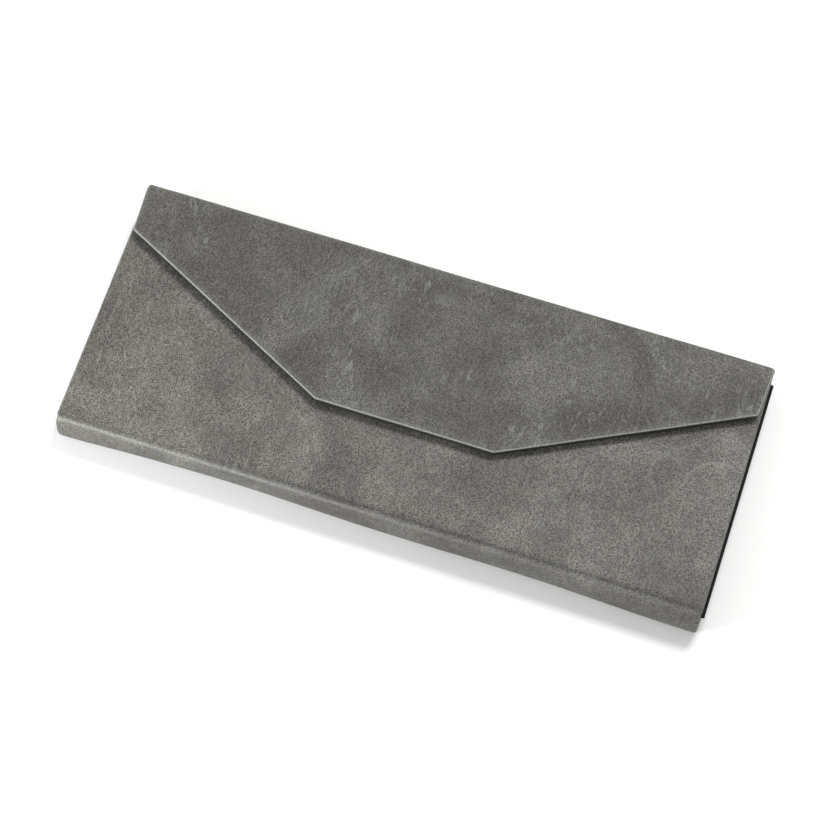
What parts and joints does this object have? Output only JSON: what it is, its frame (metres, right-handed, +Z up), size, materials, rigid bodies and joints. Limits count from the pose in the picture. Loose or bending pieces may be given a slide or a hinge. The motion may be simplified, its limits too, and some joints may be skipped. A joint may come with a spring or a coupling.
{
  "type": "folding glasses case",
  "caption": "Fold-flat glasses case in distressed grey leatherette with a magnetic envelope flap, creased board panels and folded end gussets, closed and lying flat.",
  "frame": {"origin": "centre of the closed case's footprint, on the back panel's outer face", "axes": "+X along the case, +Y from the base edge to the ridge edge that the flap hangs from, +Z up through the folded stack"},
  "size_m": [0.1666, 0.068, 0.0134],
  "materials": {
    "grey_leather": "distressed grey PU leather with a waxed pull-up finish, fine grain",
    "black_lining": "black microsuede, brushed to a short nap",
    "gusset_cloth": "black book cloth",
    "grey_board": "grey board made of pressed paper fibre",
    "magnet": "nickel-plated disc magnet"
  },
  "bodies": {
    "back": {"back_cover": "grey_leather", "back_board": "grey_board", "back_lining": "black_lining"},
    "base_strip": {"base_strip_cover": "grey_leather", "base_strip_lining": "black_lining"},
    "base": {"base_cover": "grey_leather", "base_board": "grey_board", "base_lining": "black_lining"},
    "spine_strip": {"spine_strip_cover": "grey_leather", "spine_strip_lining": "black_lining"},
    "front": {"front_cover": "grey_leather", "front_board": "grey_board", "front_lining": "black_lining", "front_magnet_left": "magnet", "front_magnet_right": "magnet"},
    "ridge_strip": {"ridge_strip_cover": "grey_leather", "ridge_strip_lining": "black_lining"},
    "flap": {"flap_cover": "grey_leather", "flap_stiffener": "grey_board", "flap_lining": "black_lining", "flap_magnet_left": "magnet", "flap_magnet_right": "magnet"},
    "base_gusset_left": {"base_gusset_left_cloth": "gusset_cloth", "base_gusset_left_card": "grey_board"},
    "base_gusset_right": {"base_gusset_right_cloth": "gusset_cloth", "base_gusset_right_card": "grey_board"},
    "front_gusset_left": {"front_gusset_left_cloth": "gusset_cloth", "front_gusset_left_card": "grey_board"},
    "front_gusset_right": {"front_gusset_right_cloth": "gusset_cloth", "front_gusset_right_card": "grey_board"}
  },
  "joints": [
    {"name": "ridge_fold", "type": "hinge", "parent": "back", "child": "ridge_strip", "pos_m": [0, 0.0333, 0], "axis": [-1, 0, 0], "range_deg": [0, 90]},
    {"name": "flap_fold", "type": "hinge", "parent": "ridge_strip", "child": "flap", "pos_m": [0, 0.0333, 0.0134], "axis": [-1, 0, 0], "range_deg": [0, 90]},
    {"name": "base_fold", "type": "hinge", "parent": "back", "child": "base_strip", "pos_m": [0, -0.0333, 0], "axis": [1, 0, 0], "range_deg": [0, 90], "deforming": ["flap_cover", "flap_stiffener", "flap_lining", "flap_magnet_left", "flap_magnet_right", "base_gusset_left_cloth", "base_gusset_left_card", "base_gusset_right_cloth", "base_gusset_right_card", "front_gusset_left_cloth", "front_gusset_left_card", "front_gusset_right_cloth", "front_gusset_right_card"]},
    {"name": "base_panel_fold", "type": "hinge", "parent": "base_strip", "child": "base", "pos_m": [0, -0.0333, 0.0106], "axis": [1, 0, 0], "range_deg": [0, 90]},
    {"name": "spine_fold", "type": "hinge", "parent": "base", "child": "spine_strip", "pos_m": [0, 0.0315, 0.0106], "axis": [1, 0, 0], "range_deg": [0, 30]},
    {"name": "front_fold", "type": "hinge", "parent": "spine_strip", "child": "front", "pos_m": [0, 0.0315, 0.0029], "axis": [1, 0, 0], "range_deg": [0, 30]},
    {"name": "base_gusset_left_fold", "type": "hinge", "parent": "base", "child": "base_gusset_left", "pos_m": [-0.0825, 0, 0.008], "axis": [0, 1, 0], "range_deg": [0, 90]},
    {"name": "base_gusset_right_fold", "type": "hinge", "parent": "base", "child": "base_gusset_right", "pos_m": [0.0825, 0, 0.008], "axis": [0, -1, 0], "range_deg": [0, 90]},
    {"name": "front_gusset_left_fold", "type": "hinge", "parent": "front", "child": "front_gusset_left", "pos_m": [-0.0825, 0, 0.0055], "axis": [0, -1, 0], "range_deg": [0, 90]},
    {"name": "front_gusset_right_fold", "type": "hinge", "parent": "front", "child": "front_gusset_right", "pos_m": [0.0825, 0, 0.0055], "axis": [0, 1, 0], "range_deg": [0, 90]}
  ],
  "couplings": [
    {"joint": "flap_fold", "follows": "ridge_fold", "ratio": 1},
    {"joint": "base_panel_fold", "follows": "base_fold", "ratio": 1},
    {"joint": "spine_fold", "follows": "base_fold", "ratio": 0.33333},
    {"joint": "front_fold", "follows": "base_fold", "ratio": 0.33333},
    {"joint": "base_gusset_left_fold", "follows": "base_fold", "ratio": 1},
    {"joint": "base_gusset_right_fold", "follows": "base_fold", "ratio": 1},
    {"joint": "front_gusset_left_fold", "follows": "base_fold", "ratio": 1},
    {"joint": "front_gusset_right_fold", "follows": "base_fold", "ratio": 1}
  ]
}
